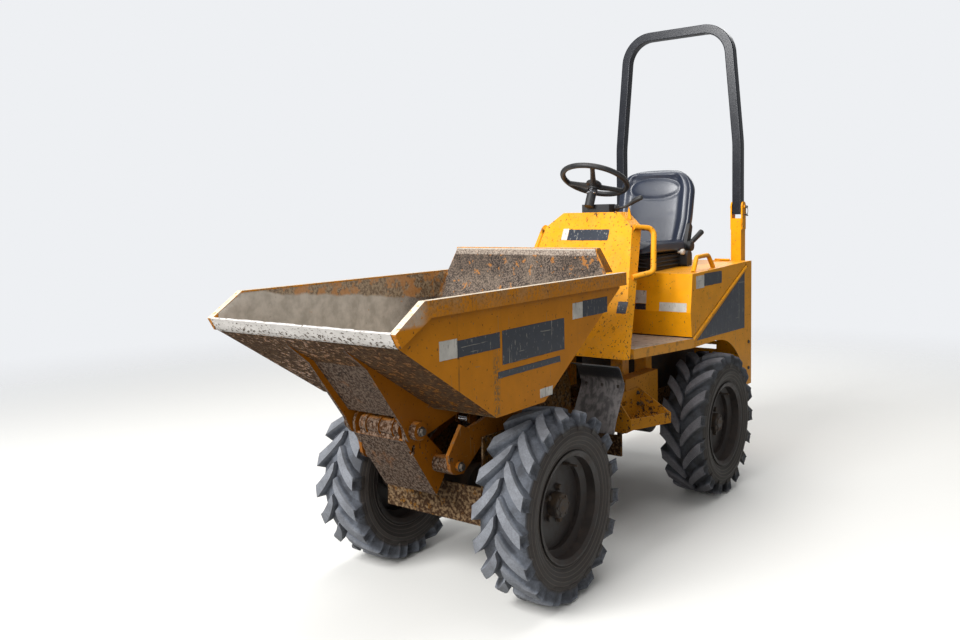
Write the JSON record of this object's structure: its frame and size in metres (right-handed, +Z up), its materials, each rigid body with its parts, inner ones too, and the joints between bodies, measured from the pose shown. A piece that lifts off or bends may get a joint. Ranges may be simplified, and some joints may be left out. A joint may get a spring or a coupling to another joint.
{
  "type": "site dumper",
  "caption": "Compact articulated site dumper with a high-lift forward tipping skip, a driver's seat over the rear engine and a folding roll bar.",
  "frame": {"origin": "on the ground, under the middle of the machine's length and width", "axes": "+Z up, the skip faces -Y, +X is the side at the driver's left hand"},
  "size_m": [0.99, 2.88, 2.407],
  "materials": {
    "orange_paint": "weathered gloss with mud specks",
    "skip_paint": "weathered, inside coated with dried concrete",
    "black_paint": "satin",
    "rim_paint": "dull, rust and mud",
    "tyre": "dusty tread",
    "floor_steel": "worn bare",
    "rod_chrome": "polished",
    "cast": "dirty",
    "seat_vinyl": "soft vinyl",
    "black_plastic": "moulded",
    "dull_steel": "oiled"
  },
  "bodies": {
    "rear_chassis": {"rear_frame": "black_paint", "rear_axle": "cast", "side_tanks": "orange_paint", "steps": "orange_paint", "floor_plate": "floor_steel", "console": "orange_paint", "steering_column": "black_plastic", "steering_wheel": "black_plastic", "direction_lever": "black_plastic", "pedals": "dull_steel", "side_panels": "orange_paint", "rear_panel": "orange_paint", "engine_block": "cast", "rops_posts": "orange_paint"},
    "engine_cover": {"engine_cover": "orange_paint", "seat_base": "black_plastic", "seat_cushion": "seat_vinyl", "seat_back": "seat_vinyl"},
    "rops_hoop": {"rops_hoop": "black_paint"},
    "centre_pivot": {"centre_pivot": "cast"},
    "front_chassis": {"front_frame": "orange_paint", "front_axle": "cast", "mudguards": "black_paint"},
    "lift_arms": {"lift_arms": "orange_paint"},
    "level_links": {"level_links": "orange_paint"},
    "nose": {"nose_frame": "orange_paint"},
    "skip": {"skip_shell": "skip_paint", "skip_brackets": "orange_paint"},
    "lift_barrel": {"lift_cylinder": "black_paint"},
    "lift_rod": {"lift_rod": "rod_chrome"},
    "tip_barrel": {"tip_cylinder": "black_paint"},
    "tip_rod": {"tip_rod": "rod_chrome"},
    "steer_barrel": {"steer_cylinder": "black_paint"},
    "steer_rod": {"steer_rod": "rod_chrome"},
    "wheel_front_left": {"rim_front_left": "rim_paint", "tyre_front_left": "tyre"},
    "wheel_front_right": {"rim_front_right": "rim_paint", "tyre_front_right": "tyre"},
    "wheel_rear_left": {"rim_rear_left": "rim_paint", "tyre_rear_left": "tyre"},
    "wheel_rear_right": {"rim_rear_right": "rim_paint", "tyre_rear_right": "tyre"}
  },
  "joints": [
    {"name": "steering", "type": "hinge", "parent": "rear_chassis", "child": "centre_pivot", "pos_m": [0, 0.16, 0.4], "axis": [0, 0, 1], "range_deg": [-33, 33]},
    {"name": "oscillation", "type": "hinge", "parent": "centre_pivot", "child": "front_chassis", "pos_m": [0, 0, 0.4], "axis": [0, 1, 0], "range_deg": [-10, 10]},
    {"name": "lift", "type": "hinge", "parent": "front_chassis", "child": "lift_arms", "pos_m": [0, -0.25, 0.79], "axis": [-1, 0, 0], "range_deg": [0, 60]},
    {"name": "nose_level", "type": "hinge", "parent": "lift_arms", "child": "nose", "pos_m": [0, -0.905, 0.538], "axis": [-1, 0, 0], "range_deg": [-60, 0]},
    {"name": "tip", "type": "hinge", "parent": "nose", "child": "skip", "pos_m": [0, -1.042, 0.684], "axis": [1, 0, 0], "range_deg": [0, 75]},
    {"name": "level_link_swing", "type": "hinge", "parent": "front_chassis", "child": "level_links", "pos_m": [0, -0.25, 0.72], "axis": [-1, 0, 0], "range_deg": [0, 60]},
    {"name": "lift_cylinder_swing", "type": "hinge", "parent": "front_chassis", "child": "lift_barrel", "pos_m": [0, -0.28, 0.34], "axis": [-1, 0, 0], "range_deg": [0, 24]},
    {"name": "lift_cylinder_stroke", "type": "slide", "parent": "lift_barrel", "child": "lift_rod", "axis": [0, -0.7311, 0.6823], "range_m": [0, 0.3145]},
    {"name": "tip_cylinder_swing", "type": "hinge", "parent": "nose", "child": "tip_barrel", "pos_m": [0, -0.95, 0.545], "axis": [1, 0, 0], "range_deg": [0, 63]},
    {"name": "tip_cylinder_stroke", "type": "slide", "parent": "tip_barrel", "child": "tip_rod", "axis": [0, 0.8545, 0.5195], "range_m": [0, 0.1925]},
    {"name": "steer_cylinder_swing", "type": "hinge", "parent": "rear_chassis", "child": "steer_barrel", "pos_m": [-0.185, 0.56, 0.437], "axis": [0, 0, 1], "range_deg": [-1.4, 1.4]},
    {"name": "steer_cylinder_stroke", "type": "slide", "parent": "steer_barrel", "child": "steer_rod", "axis": [0.0811, -0.9967, 0], "range_m": [-0.0845, 0.0845]},
    {"name": "rops_fold", "type": "hinge", "parent": "rear_chassis", "child": "rops_hoop", "pos_m": [0, 1.3978, 1.417], "axis": [1, 0, 0], "range_deg": [-110, 0]},
    {"name": "cover_hinge", "type": "hinge", "parent": "rear_chassis", "child": "engine_cover", "pos_m": [0, 1.293, 1.137], "axis": [-1, 0, 0], "range_deg": [0, 45]},
    {"name": "wheel_front_left_spin", "type": "hinge", "parent": "front_chassis", "child": "wheel_front_left", "pos_m": [0.387, -0.588, 0.35], "axis": [1, 0, 0], "continuous": true},
    {"name": "wheel_front_right_spin", "type": "hinge", "parent": "front_chassis", "child": "wheel_front_right", "pos_m": [-0.387, -0.588, 0.35], "axis": [1, 0, 0], "continuous": true},
    {"name": "wheel_rear_left_spin", "type": "hinge", "parent": "rear_chassis", "child": "wheel_rear_left", "pos_m": [0.387, 0.892, 0.35], "axis": [1, 0, 0], "continuous": true},
    {"name": "wheel_rear_right_spin", "type": "hinge", "parent": "rear_chassis", "child": "wheel_rear_right", "pos_m": [-0.387, 0.892, 0.35], "axis": [1, 0, 0], "continuous": true}
  ],
  "couplings": [
    {"joint": "nose_level", "follows": "lift", "ratio": -1},
    {"joint": "level_link_swing", "follows": "lift", "ratio": 1},
    {"joint": "lift_cylinder_swing", "follows": "lift", "ratio": 0.3841},
    {"joint": "lift_cylinder_stroke", "follows": "lift", "m_per_rad": 0.2992},
    {"joint": "tip_cylinder_swing", "follows": "tip", "ratio": 0.8318},
    {"joint": "tip_cylinder_stroke", "follows": "tip", "m_per_rad": 0.1459},
    {"joint": "steer_cylinder_swing", "follows": "steering", "ratio": 0.041},
    {"joint": "steer_cylinder_stroke", "follows": "steering", "m_per_rad": 0.1458}
  ]
}
